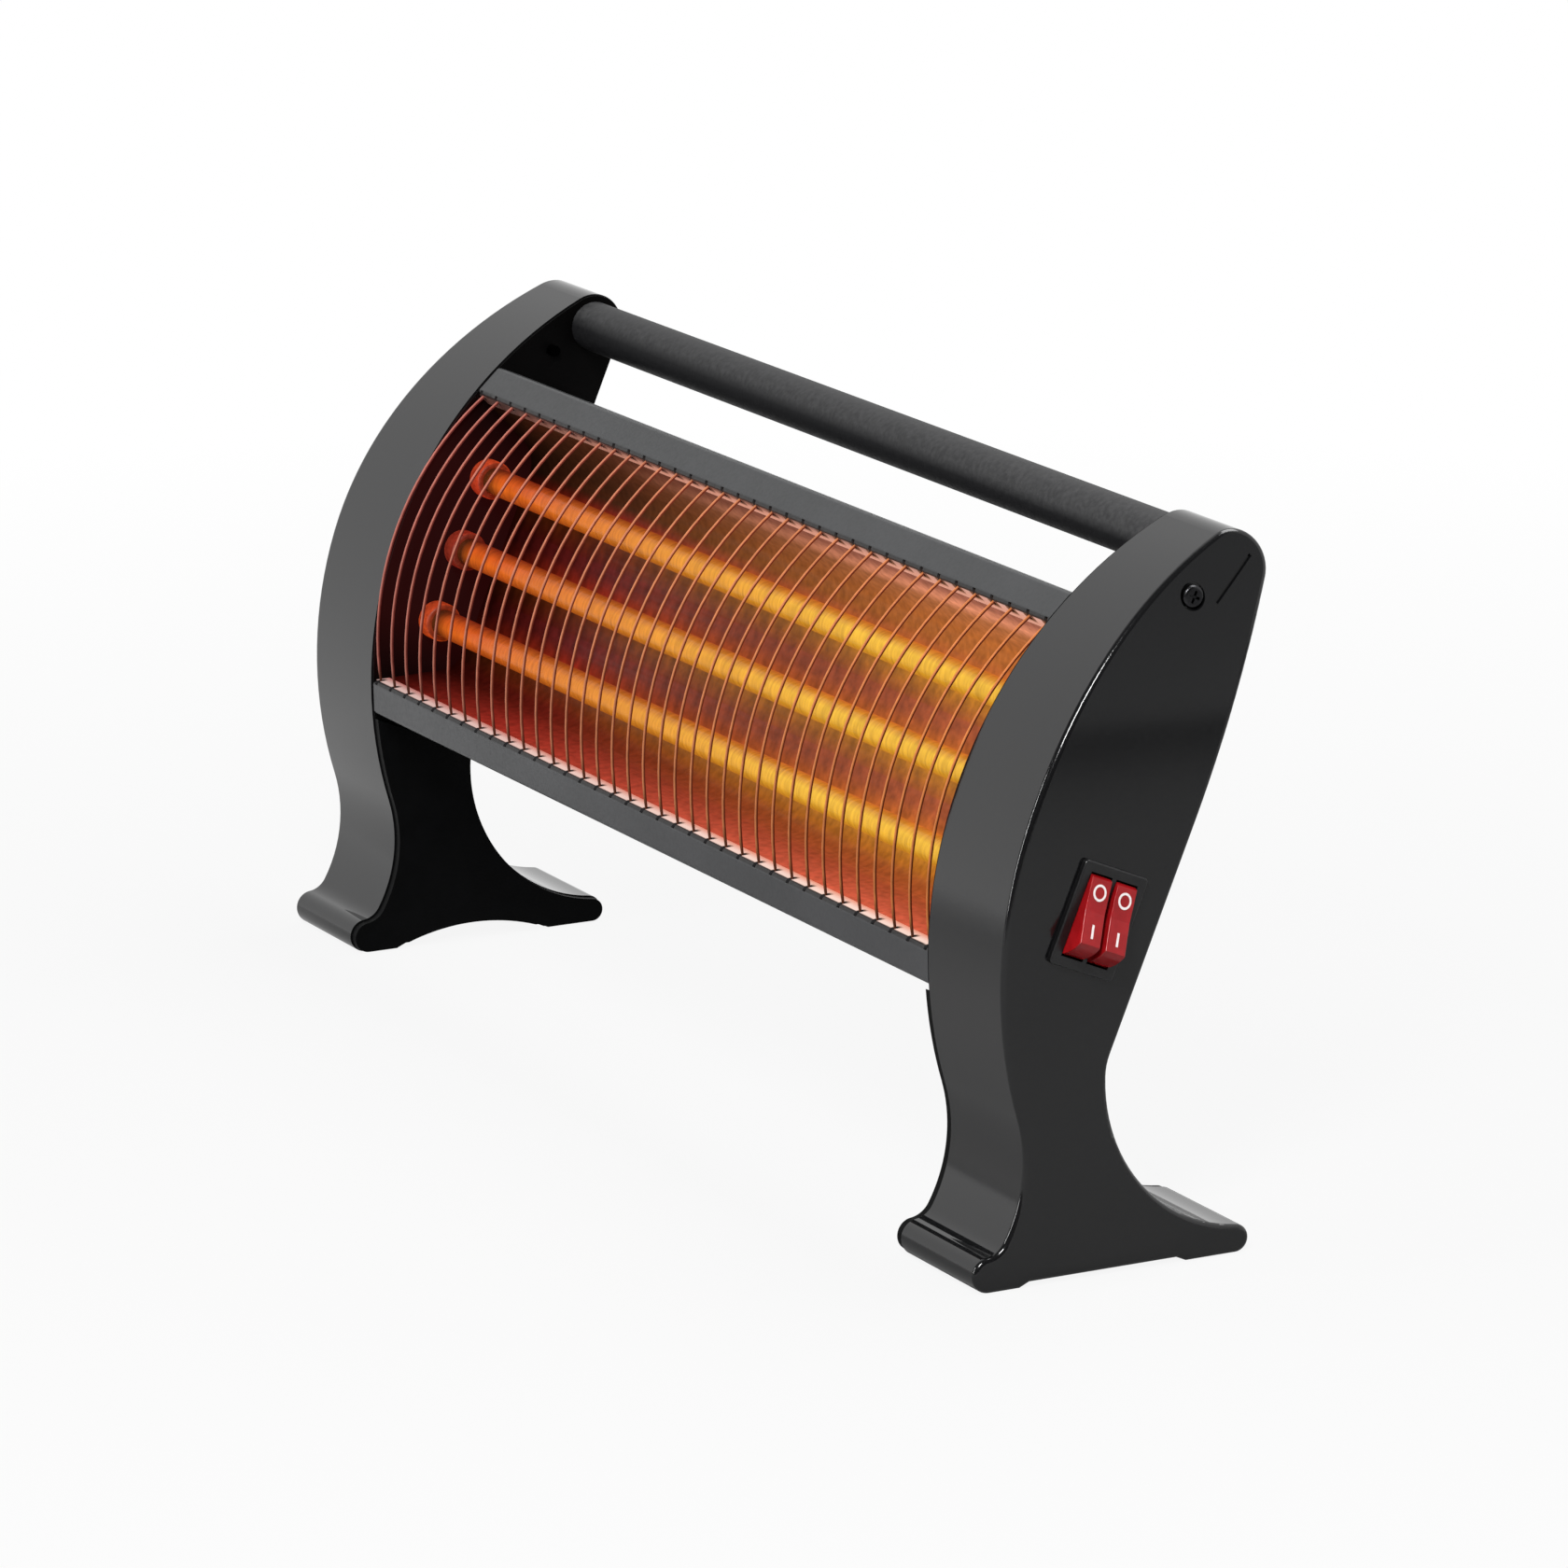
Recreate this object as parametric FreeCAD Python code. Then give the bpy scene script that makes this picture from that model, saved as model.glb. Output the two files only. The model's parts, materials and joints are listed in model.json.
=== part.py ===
"""Quartz-tube space heater in millimetres: +Z up, front towards -Y, origin on the floor midway."""
import FreeCAD, Part
import math
import os

Vector = FreeCAD.Vector

# Overall size and the leaning core: N runs rearward and T upward along the lean
WIDTH = 512.0
PANEL_DEPTH = 48.0
FOOT_DEPTH = 102.5
FOOT_Y = -5.1
LEAN = 22.8
CORE_Y = -10.1
CORE_Z = 147.5

# Side panel outline, a chain of tangent arcs
BULGE_RADIUS = 150.0
BULGE_REACH = 27.0
REAR_REACH = 32.1
NOSE_RADIUS = 11.7
WAIST_RADIUS = 51.0
WAIST_HEIGHT = 41.3
TOE_RADIUS = 6.0
TOE_FILLET = 8.0
HEEL_RADIUS = 4.7
HEEL_SWEEP = 56.2
CREASE_HEIGHT = 70.4
CREASE_RADIUS = 20.0
ARCH_HEIGHT = 1.6
ARCH_RISE = 4.8
PAD_SLOPE = 3.6
FRONT_PAD = 11.2
REAR_PAD = 18.5

# Side panel moulding
WALL = 2.2
EDGE_ROUND = 1.8
BOW_START = 147.0
BOW_RADIUS = 269.0
COVER_PLATE = 3.5
RIM_STEP = 0.5
SEAM_DROP = 2.0
BOSS_RADIUS = 4.5
GROOVE_WIDTH = 1.2
GROOVE_DEPTH = 1.0
GROOVE_LENGTH = 20.0
GROOVE_LEAN = 24.7
GROOVE_N = 16.0
GROOVE_T = 79.9

# Sheet metal housing
PLATE_SHEET = 1.2
RAIL_SHEET = 1.0
COVER_SHEET = 0.8
REFLECTOR_SHEET = 0.6
RAIL_RECESS = 0.3
GRILLE_HALF = 55.8
RAIL_WIDTH = 12.2
INNER_FLANGE = 6.6
OUTER_FLANGE = 9.0
RAIL_BEND = 0.8
COVER_SET_IN = 5.3
COVER_BEND = 4.0
COVER_LAP = 5.0
REFLECTOR_REACH = 16.0
REFLECTOR_BEND = 12.0
REFLECTOR_GAP = 0.3
VENT_COUNT = 14
VENT_LENGTH = 20.0
VENT_HEIGHT = 3.0
VENT_SET_IN = 15.0

# Wire grille
WIRE_COUNT = 36
WIRE_RADIUS = 0.55
WIRE_MARGIN = 2.05
WIRE_PROUD = 2.0
ROD_RADIUS = 1.2
ROD_PAST = 3.2
ROD_DEPTH = 2.55
ROD_END_GAP = 0.3
SLOT_WIDTH = 1.9
SLOT_END = 3.6
SLOT_RISE = 1.3

# Tubes, caps and terminals
TUBE_PITCH = 27.5
TUBE_RADIUS = 5.0
TUBE_WALL = 1.0
ELEMENT_RADIUS = 3.2
CAP_RADIUS = 7.0
CAP_LENGTH = 7.0
CAP_RECESS = 4.5
CAP_ROUND = 1.2
NECK_RADIUS = 5.0
STUD_RADIUS = 1.5
STUD_REACH = 8.0
ELEMENT_SET_IN = 1.8
WASHER_RADIUS = 6.0
WASHER_SHEET = 1.0
BUS_SHEET = 0.8
BUS_HALF = 5.0
STUD_NUT_FLATS = 5.5
STUD_NUT_HEIGHT = 2.4
NECK_PROUD = 0.1
FIT = 0.1

# Handle
HANDLE_RADIUS = 9.0
HANDLE_WALL = 1.5
HANDLE_GRIP = 14.0
HANDLE_COVER = 4.0
SOCKET_WALL = 2.4

# Screws
OUTER_SCREW_N = 7.2
OUTER_SCREW_T = 79.3
OUTER_SHANK = 2.0
SCREW_HEAD = 3.8
SCREW_HEAD_HEIGHT = 2.4
SCREW_HEAD_ROUND = 1.2
CROSS_LENGTH = 4.2
CROSS_WIDTH = 0.9
CROSS_DEPTH = 1.0
SEAT_RADIUS = 4.5
SEAT_SINK = 0.2
SCREW_PAST = 3.0
INNER_SCREW_SET_IN = 10.0
INNER_SHANK = 1.75
INNER_SCREW_LENGTH = 14.0

# Switch
SWITCH_N = 8.7
SWITCH_T = -27.3
BEZEL_WIDTH = 25.0
BEZEL_LENGTH = 35.0
BEZEL_PROUD = 2.0
BEZEL_CORNER = 1.5
BEZEL_EDGE = 0.6
SWITCH_WIDTH = 20.0
SWITCH_LENGTH = 30.0
SWITCH_BODY = 18.0
CUTOUT_GAP = 0.2
ROCKER_WIDTH = 7.8
ROCKER_RADIUS = 13.9
ROCKER_PROUD = 4.0
ROCKER_GAP = 0.3
ROCKER_SPACE = 2.2
ROCKER_DISH = 4.0
ROCKER_EDGE = 0.4
ROCKER_TILT = 17.0
ROCKER_SHOULDER = 1.5
ROCKER_KEEL = 6.0
PIVOT_SINK = 4.0
PIN_RADIUS = 1.0
PIN_GAP = 0.05
PIN_END_GAP = 0.05
BLADE_SHEET = 0.8
BLADE_WIDTH = 4.8
BLADE_LENGTH = 7.0
LOAD_BLADE_T = 8.0
LINE_BLADE_T = -6.0

# Leads, terminal block and cord gland
LEAD_RADIUS = 1.2
LEAD_BEND_SHARE = 0.7
LEAD_HOLE = 3.0
NEUTRAL_T = -15.0
BLOCK_SET_IN = 5.0
BLOCK_HALF_N = 10.0
BLOCK_HALF_T = 7.0
BLOCK_HEIGHT = 10.0
BLOCK_ENTRY = 5.0
ENTRY_DEPTH = 4.0
GLAND_OUT = 24.0
GLAND_GAP = 0.4
GLAND_FLANGE = 7.5
GLAND_FLANGE_SHEET = 2.0
GLAND_NECK = 5.0
GLAND_BORE = 3.5
GLAND_NECK_LENGTH = 9.0
GLAND_NUT_FLATS = 14.0
GLAND_NUT_HEIGHT = 4.0

# Planes across the width, right-hand side
HALF = WIDTH / 2
INNER = HALF - PANEL_DEPTH
PLATE_X = INNER - PLATE_SHEET
CAP_X = PLATE_X - CAP_LENGTH
TUBE_X = CAP_X + CAP_RECESS
ELEMENT_X = TUBE_X - ELEMENT_SET_IN
NECK_X = INNER + NECK_PROUD
BUS_X = NECK_X + WASHER_SHEET
STUD_X = INNER + STUD_REACH
BEZEL_X = HALF + BEZEL_PROUD
SWITCH_X = HALF - SWITCH_BODY
BLADE_X = SWITCH_X - BLADE_LENGTH
LOOP_X = (STUD_X + BLADE_X) / 2
LEAD_BEND = LEAD_BEND_SHARE * (BLADE_X - LOOP_X)
BLOCK_X = INNER + BLOCK_HEIGHT
GLAND_X = INNER + GLAND_OUT
PIVOT_X = BEZEL_X - PIVOT_SINK

# Places in the leaning core
BULGE_N = BULGE_RADIUS - BULGE_REACH
NOSE_N = REAR_REACH - NOSE_RADIUS
NOSE_T = math.sqrt((BULGE_RADIUS - NOSE_RADIUS) ** 2 - (BULGE_N - NOSE_N) ** 2)
COVER_N = REAR_REACH - COVER_SET_IN
BEHIND_N = (REFLECTOR_REACH + COVER_N) / 2
VENT_T = GRILLE_HALF - VENT_SET_IN
INNER_SCREW_T = GRILLE_HALF - INNER_SCREW_SET_IN
BLOCK_T = BLOCK_SET_IN - GRILLE_HALF
TUBE_TS = [TUBE_PITCH, 0.0, -TUBE_PITCH]
BAY_HALF_N = ROCKER_WIDTH / 2 + ROCKER_GAP
BAY_HALF_T = ROCKER_RADIUS + ROCKER_GAP
ROCKER_N = (ROCKER_WIDTH + ROCKER_SPACE) / 2

CORE = FreeCAD.Placement(Vector(0, CORE_Y, CORE_Z), FreeCAD.Rotation(Vector(1, 0, 0), -LEAN))
ALONG_X = Vector(1, 0, 0)
ALONG_N = Vector(0, 1, 0)


# Drawing helpers
def lean(shape):
    leaned = shape.copy()
    leaned.Placement = CORE.multiply(leaned.Placement)
    return leaned


def mirrored(shape):
    return shape.mirror(Vector(0, 0, 0), ALONG_X)


def core_point(n, t):
    return CORE.multVec(Vector(0, n, t))


def line(start, end):
    return Part.makeLine(start, end)


def arc(start, middle, end):
    return Part.Arc(start, middle, end).toShape()


def unit(vector):
    return vector * (1 / vector.Length)


def toward(start, end, distance):
    return start + unit(end - start) * distance


def short_arc(start, end, centre):
    radius = (start - centre).Length
    middle = centre + unit(start + end - centre * 2) * radius
    return arc(start, middle, end)


def meet(first, first_radius, second, second_radius):
    gap = second - first
    span = gap.Length
    along = (first_radius ** 2 - second_radius ** 2 + span ** 2) / (2 * span)
    across = math.sqrt(first_radius ** 2 - along ** 2)
    left = Vector(0, -gap.z, gap.y) * (1 / span)
    return toward(first, second, along) + left * across


def chain(points):
    return [line(start, end) for start, end in zip(points, points[1:])]


def prism(edges, start_x, end_x):
    face = Part.Face(Part.Wire(edges))
    face.translate(ALONG_X * start_x)
    return face.extrude(ALONG_X * (end_x - start_x))


def rod(radius, start_x, end_x, n, t):
    return Part.makeCylinder(radius, end_x - start_x, Vector(start_x, n, t), ALONG_X)


def ring(outer, bore, start_x, end_x, n, t):
    return rod(outer, start_x, end_x, n, t).cut(rod(bore, start_x, end_x, n, t))


def block(start_x, end_x, n, half_n, t, half_t):
    corner = Vector(start_x, n - half_n, t - half_t)
    return Part.makeBox(end_x - start_x, 2 * half_n, 2 * half_t, corner)


def hexagon(flats, height):
    radius = flats / math.sqrt(3)
    angles = [math.radians(60 * step) for step in range(7)]
    corners = [Vector(0, radius * math.cos(a), radius * math.sin(a)) for a in angles]
    return Part.Face(Part.makePolygon(corners)).extrude(ALONG_X * height)


# Open path with rounded corners
def rounded(points, radii):
    edges = []
    start = points[0]
    for index, radius in enumerate(radii):
        corner = points[index + 1]
        back = unit(points[index] - corner)
        ahead = unit(points[index + 2] - corner)
        half = back.getAngle(ahead) / 2
        first = corner + back * (radius / math.tan(half))
        last = corner + ahead * (radius / math.tan(half))
        middle = corner + unit(back + ahead) * (radius / math.sin(half) - radius)
        edges.append(line(start, first))
        edges.append(arc(first, middle, last))
        start = last
    edges.append(line(start, points[-1]))
    return edges


# Copy of a flat path, moved sideways to the right of its travel
def beside(points, distance):
    sides = []
    for start, end in zip(points, points[1:]):
        travel = unit(end - start)
        sides.append(Vector(0, travel.z, -travel.y))
    moved = [points[0] + sides[0] * distance]
    for index in range(1, len(points) - 1):
        before = sides[index - 1]
        after = sides[index]
        moved.append(points[index] + (before + after) * (distance / (1 + before.dot(after))))
    moved.append(points[-1] + sides[-1] * distance)
    return moved


# Bent sheet between the end plates; a sheet below zero lies left of the path
def bent_sheet(corners, sheet, bend):
    points = [Vector(0, n, t) for n, t in corners]
    other = beside(points, sheet)
    near = []
    far = []
    for before, corner, after in zip(points, points[1:], points[2:]):
        turn = (corner - before).cross(after - corner).x
        inside = turn * sheet < 0
        near.append(bend + abs(sheet) if inside else bend)
        far.append(bend if inside else bend + abs(sheet))
    edges = rounded(points, near)
    edges.append(line(points[-1], other[-1]))
    edges += rounded(other[::-1], far[::-1])
    edges.append(line(other[0], points[0]))
    return prism(edges, -PLATE_X, PLATE_X)


# Insulated lead along straight runs and rounded corners
def lead(points):
    edges = rounded(points, [LEAD_BEND] * (len(points) - 2))
    travel = unit(points[1] - points[0])
    profile = Part.Wire(Part.makeCircle(LEAD_RADIUS, points[0], travel))
    return Part.Wire(edges).makePipeShell([profile], True, True)


# Ends of the two foot pads along Y
def pad_ends():
    front = FOOT_Y - FOOT_DEPTH / 2 + TOE_RADIUS + FRONT_PAD
    return front, FOOT_Y + FOOT_DEPTH / 2 - HEEL_RADIUS - REAR_PAD


def heel_centre():
    return Vector(0, FOOT_Y + FOOT_DEPTH / 2 - HEEL_RADIUS, HEEL_RADIUS)


# Centres of the two arcs that lead from the heel up to the straight rear wall
def rear_arcs():
    crease_t = (CREASE_HEIGHT - core_point(REAR_REACH, 0).z) / math.cos(math.radians(LEAN))
    start = core_point(REAR_REACH, crease_t)
    sweep = meet(start, HEEL_SWEEP, heel_centre(), HEEL_SWEEP + HEEL_RADIUS)
    flat_sweep = CORE.inverse().multVec(sweep)
    crease_n = REAR_REACH + CREASE_RADIUS
    below = math.sqrt((HEEL_SWEEP - CREASE_RADIUS) ** 2 - (flat_sweep.y - crease_n) ** 2)
    return sweep, core_point(crease_n, flat_sweep.z - below)


# Side panel outline; a full wall's inset draws the hollow, without the arch
def panel_outline(inset):
    bulge = core_point(BULGE_N, 0)
    nose = core_point(NOSE_N, NOSE_T)
    rearward = core_point(1, 0) - core_point(0, 0)
    drop = bulge.z - WAIST_HEIGHT
    ahead = math.sqrt((BULGE_RADIUS + WAIST_RADIUS) ** 2 - drop ** 2)
    waist = Vector(0, bulge.y - ahead, WAIST_HEIGHT)
    toe = Vector(0, FOOT_Y - FOOT_DEPTH / 2 + TOE_RADIUS, TOE_RADIUS)
    heel = heel_centre()
    scoop = meet(waist, WAIST_RADIUS - TOE_FILLET, toe, TOE_RADIUS + TOE_FILLET)
    sweep, crease = rear_arcs()

    toe_low = toe - Vector(0, 0, TOE_RADIUS - inset)
    heel_low = heel - Vector(0, 0, HEEL_RADIUS - inset)
    heel_rear = heel + Vector(0, HEEL_RADIUS - inset, 0)
    heel_top = toward(heel, sweep, HEEL_RADIUS - inset)
    sweep_top = toward(sweep, crease, HEEL_SWEEP + inset)
    crease_top = crease - rearward * (CREASE_RADIUS + inset)
    nose_low = nose + rearward * (NOSE_RADIUS - inset)
    nose_top = toward(bulge, nose, BULGE_RADIUS - inset)
    bulge_low = toward(bulge, waist, BULGE_RADIUS - inset)
    waist_low = toward(waist, scoop, WAIST_RADIUS + inset)
    toe_top = toward(toe, scoop, TOE_RADIUS - inset)
    toe_front = toe - Vector(0, TOE_RADIUS - inset, 0)

    base = [toe_low, heel_low]
    if inset < WALL:
        front, rear = pad_ends()
        front_arch = Vector(0, front + PAD_SLOPE, inset + ARCH_HEIGHT)
        rear_arch = Vector(0, rear - PAD_SLOPE, inset + ARCH_HEIGHT)
        base[1:1] = [Vector(0, front, inset), front_arch, rear_arch, Vector(0, rear, inset)]
    edges = chain(base)
    edges.append(arc(heel_low, heel_rear, heel_top))
    edges.append(short_arc(heel_top, sweep_top, sweep))
    edges.append(short_arc(sweep_top, crease_top, crease))
    edges.append(line(crease_top, nose_low))
    edges.append(short_arc(nose_low, nose_top, nose))
    edges.append(short_arc(nose_top, bulge_low, bulge))
    edges.append(short_arc(bulge_low, waist_low, waist))
    edges.append(short_arc(waist_low, toe_top, scoop))
    edges.append(arc(toe_top, toe_front, toe_low))
    return edges


# Outer face of the right panel at a height: flat below, bowed inward above
def bow_x(height):
    rise = max(height - BOW_START, 0)
    return HALF - BOW_RADIUS + math.sqrt(BOW_RADIUS ** 2 - rise ** 2)


def nose_height():
    return core_point(NOSE_N, NOSE_T).z + NOSE_RADIUS


# Room between the mid-plane and the outer face, less an inset
def bow_room(inset):
    top = nose_height() + NOSE_RADIUS
    radius = BOW_RADIUS - inset
    hub = Vector(HALF - BOW_RADIUS, -WIDTH, BOW_START)
    angle = math.asin((top - BOW_START) / radius)
    knee = hub + Vector(radius, 0, 0)
    middle = hub + Vector(radius * math.cos(angle / 2), 0, radius * math.sin(angle / 2))
    end = hub + Vector(radius * math.cos(angle), 0, radius * math.sin(angle))
    edges = [arc(knee, middle, end)]
    outer = Vector(knee.x, -WIDTH, -WALL)
    edges += chain([end, Vector(0, -WIDTH, top), Vector(0, -WIDTH, -WALL), outer, knee])
    return Part.Face(Part.Wire(edges)).extrude(Vector(0, 2 * WIDTH, 0))


def rail_angles():
    inner = math.asin(GRILLE_HALF / (BULGE_RADIUS - RAIL_RECESS))
    return inner, inner + 2 * math.asin(RAIL_WIDTH / 2 / (BULGE_RADIUS - RAIL_RECESS))


def on_band(angle):
    radius = BULGE_RADIUS - RAIL_RECESS
    return Vector(0, BULGE_N - radius * math.cos(angle), radius * math.sin(angle))


# Corners of the upper rail's strip and its inward direction
def rail_strip():
    inner_angle, outer_angle = rail_angles()
    inner = on_band(inner_angle)
    outer = on_band(outer_angle)
    along = unit(outer - inner)
    return inner, outer, along, Vector(0, along.z, -along.y)


# Outer skin of the right panel with its round outer edge
def panel_skin():
    skin = prism(panel_outline(0), INNER, HALF).common(bow_room(0))
    rim = []
    for edge in skin.Edges:
        middle = edge.valueAt((edge.FirstParameter + edge.LastParameter) / 2)
        across = edge.BoundBox.YLength
        seam = edge.BoundBox.ZLength < FIT and abs(middle.z - BOW_START) < FIT
        outside = abs(middle.x - bow_x(middle.z)) < FIT / 10
        if outside and not seam and across + edge.BoundBox.ZLength > FIT:
            rim.append(edge)
    return skin.makeFillet(EDGE_ROUND, rim)


def panel_hollow():
    hollow = prism(panel_outline(WALL), INNER, HALF).common(bow_room(WALL))
    height = ARCH_HEIGHT + ARCH_RISE + WALL
    return hollow.cut(Part.makeBox(HALF, 2 * FOOT_DEPTH, height, Vector(0, -FOOT_DEPTH, 0)))


# Deeper arch under the foot, behind the outer wall
def under_arch():
    front, rear = pad_ends()
    start = Vector(0, front + PAD_SLOPE, ARCH_HEIGHT)
    end = Vector(0, rear - PAD_SLOPE, ARCH_HEIGHT)
    middle = (start + end) * 0.5 + Vector(0, 0, ARCH_RISE)
    return prism([arc(start, middle, end), line(end, start)], INNER - COVER_PLATE, HALF - WALL)


# Shallow groove across the nose's outer face
def nose_groove():
    half = GROOVE_LENGTH / 2
    bar = block(INNER, HALF, 0, GROOVE_WIDTH / 2, half, half)
    bar.rotate(Vector(0, 0, 0), ALONG_X, -GROOVE_LEAN)
    bar.translate(Vector(0, GROOVE_N, GROOVE_T))
    return lean(bar).cut(bow_room(GROOVE_DEPTH))


def seat_x():
    return bow_x(core_point(OUTER_SCREW_N, OUTER_SCREW_T).z + SEAT_RADIUS) - SEAT_SINK


def handle_end():
    return bow_x(nose_height()) - HANDLE_COVER


# Shell with screw columns and handle socket, the same on both sides
def plain_panel():
    skin = panel_skin()
    column = OUTER_SHANK + FIT + BOSS_RADIUS - INNER_SHANK
    socket = HANDLE_RADIUS + FIT + SOCKET_WALL
    socket_x = handle_end() - HANDLE_GRIP
    inner_bore = INNER_SHANK + FIT
    bore_end = PLATE_X + INNER_SCREW_LENGTH + FIT
    adds = rod(column, INNER, HALF, OUTER_SCREW_N, OUTER_SCREW_T)
    cuts = rod(OUTER_SHANK + FIT, INNER, HALF, OUTER_SCREW_N, OUTER_SCREW_T)
    cuts = cuts.fuse(rod(SEAT_RADIUS, seat_x(), HALF, OUTER_SCREW_N, OUTER_SCREW_T))
    for t in (INNER_SCREW_T, -INNER_SCREW_T):
        adds = adds.fuse(rod(BOSS_RADIUS, INNER, HALF, BEHIND_N, t))
        cuts = cuts.fuse(rod(inner_bore, INNER, bore_end, BEHIND_N, t))
    adds = adds.fuse(rod(socket, socket_x, HALF, NOSE_N, NOSE_T))
    cuts = cuts.fuse(rod(HANDLE_RADIUS + FIT, socket_x, handle_end() + FIT, NOSE_N, NOSE_T))
    panel = skin.cut([panel_hollow(), under_arch()]).fuse(lean(adds).common(skin))
    return panel.cut(lean(cuts)).cut(nose_groove()).removeSplitter()


def right_side_panel(panel):
    opening_n = SWITCH_WIDTH / 2 + CUTOUT_GAP
    opening_t = SWITCH_LENGTH / 2 + CUTOUT_GAP
    opening = block(SWITCH_X, BEZEL_X, SWITCH_N, opening_n, SWITCH_T, opening_t)
    inlet = Part.makeCylinder(GLAND_NECK + FIT, 2 * WALL, gland_base(-2 * WALL), ALONG_N)
    return panel.cut(lean(opening)).cut(lean(inlet))


def handle_tube():
    outer = HANDLE_RADIUS
    return ring(outer, outer - HANDLE_WALL, -handle_end(), handle_end(), NOSE_N, NOSE_T)


# Level, just below the lower rail, where the end plate meets the foot cover
def seam_t():
    return -rail_strip()[1].z - SEAM_DROP


# Plate over the panel's open side, with holes for handle, caps, screws and the neutral lead
def end_plate():
    above = block(PLATE_X, INNER, 0, WIDTH, seam_t() + FIT + WIDTH, WIDTH)
    plate = prism(panel_outline(RIM_STEP), PLATE_X, INNER).common(lean(above))
    holes = [rod(HANDLE_RADIUS + FIT, PLATE_X, INNER, NOSE_N, NOSE_T)]
    holes.append(rod(OUTER_SHANK + FIT, PLATE_X, INNER, OUTER_SCREW_N, OUTER_SCREW_T))
    holes += [rod(NECK_RADIUS + FIT, PLATE_X, INNER, 0, t) for t in TUBE_TS]
    for t in (INNER_SCREW_T, -INNER_SCREW_T):
        holes.append(rod(INNER_SHANK + FIT, PLATE_X, INNER, BEHIND_N, t))
    holes.append(rod(LEAD_HOLE, PLATE_X, INNER, BEHIND_N, NEUTRAL_T))
    return plate.cut([lean(hole) for hole in holes])


# Thicker plate over the panel's open side below the seam
def foot_cover():
    start_x = INNER - COVER_PLATE
    below = block(start_x, INNER, 0, WIDTH, seam_t() - WIDTH, WIDTH)
    return prism(panel_outline(RIM_STEP), start_x, INNER).common(lean(below)).cut(under_arch())


# Rail: inner flange with slots open to the front, face strip and outer flange
def upper_rail():
    inner, outer, along, inward = rail_strip()
    flange_end = inner + inward * INNER_FLANGE
    back = outer + ALONG_N * OUTER_FLANGE
    corners = [(point.y, point.z) for point in (flange_end, inner, outer, back)]
    rail = bent_sheet(corners, RAIL_SHEET, RAIL_BEND)
    near = inner - inward * RAIL_SHEET
    far = inner + inward * SLOT_END
    rise = along * SLOT_RISE
    ends = [near - rise, near + rise, far + rise, far - rise, near - rise]
    slots = [prism(chain(ends), x - SLOT_WIDTH / 2, x + SLOT_WIDTH / 2) for x in wire_places()]
    return rail.cut(slots)


def lower_rail():
    return upper_rail().mirror(Vector(0, 0, 0), Vector(0, 0, 1))


def wire_places():
    first = PLATE_X - WIRE_MARGIN
    pitch = 2 * first / (WIRE_COUNT - 1)
    return [index * pitch - first for index in range(WIRE_COUNT)]


# Bowed wires welded to two cross rods inside the rails
def wire_grille():
    inner, outer, along, inward = rail_strip()
    top = inner + along * ROD_PAST + inward * ROD_DEPTH
    low = Vector(0, top.y, -top.z)
    front = Vector(0, -BULGE_REACH - WIRE_PROUD, 0)
    path = Part.Wire(arc(low, front, top))
    edge = path.Edges[0]
    profile = Part.Wire(Part.makeCircle(WIRE_RADIUS, low, edge.tangentAt(edge.FirstParameter)))
    wire = path.makePipeShell([profile], True, True)
    end = PLATE_X - ROD_END_GAP
    rods = [rod(ROD_RADIUS, -end, end, point.y, point.z) for point in (low, top)]
    wires = []
    for x in wire_places():
        copy = wire.copy()
        copy.translate(ALONG_X * x)
        wires.append(copy)
    return rods[0].multiFuse([rods[1]] + wires)


def rear_cover():
    outer = rail_strip()[1]
    top = outer.z - RAIL_SHEET
    front = outer.y + OUTER_FLANGE - COVER_LAP
    corners = [(front, top), (COVER_N, top), (COVER_N, -top), (front, -top)]
    cover = bent_sheet(corners, COVER_SHEET, COVER_BEND)
    pitch = 2 * PLATE_X / VENT_COUNT
    radius = VENT_HEIGHT / 2
    half = VENT_LENGTH / 2 - radius
    depth = 2 * COVER_SHEET
    vents = []
    for t in (VENT_T, -VENT_T):
        for index in range(VENT_COUNT):
            x = (index + 0.5) * pitch - PLATE_X
            vents.append(block(x - half, x + half, COVER_N, depth, t, radius))
            for end in (x - half, x + half):
                base = Vector(end, COVER_N - depth, t)
                vents.append(Part.makeCylinder(radius, 2 * depth, base, ALONG_N))
    return cover.cut(vents)


# Polished trough behind the tubes, in line with the rails' inner flanges
def reflector():
    inner, outer, along, inward = rail_strip()
    lip = inner + inward * (INNER_FLANGE + REFLECTOR_GAP)
    floor_t = lip.z + inward.z / inward.y * (REFLECTOR_REACH - lip.y)
    top = [(lip.y, lip.z), (REFLECTOR_REACH, floor_t)]
    corners = top + [(n, -t) for n, t in top[::-1]]
    return bent_sheet(corners, -REFLECTOR_SHEET, REFLECTOR_BEND)


def quartz_tube(t):
    return ring(TUBE_RADIUS, TUBE_RADIUS - TUBE_WALL, -TUBE_X, TUBE_X, 0, t)


def heating_element(t):
    return rod(ELEMENT_RADIUS, -ELEMENT_X, ELEMENT_X, 0, t)


# Ceramic cap that holds a tube end and seats its neck in the end plate
def ceramic_cap(t):
    cap = rod(CAP_RADIUS, CAP_X, PLATE_X, 0, t)
    mouth = [edge for edge in cap.Edges if abs(edge.BoundBox.XMax - CAP_X) < FIT]
    cap = cap.makeFillet(CAP_ROUND, mouth)
    cap = cap.fuse(rod(NECK_RADIUS, PLATE_X, NECK_X, 0, t))
    cap = cap.cut(rod(TUBE_RADIUS + FIT, CAP_X, TUBE_X, 0, t))
    return cap.cut(rod(STUD_RADIUS + FIT, TUBE_X, NECK_X, 0, t))


def both_sides(pieces):
    return Part.makeCompound([lean(piece) for piece in pieces + [mirrored(p) for p in pieces]])


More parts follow.
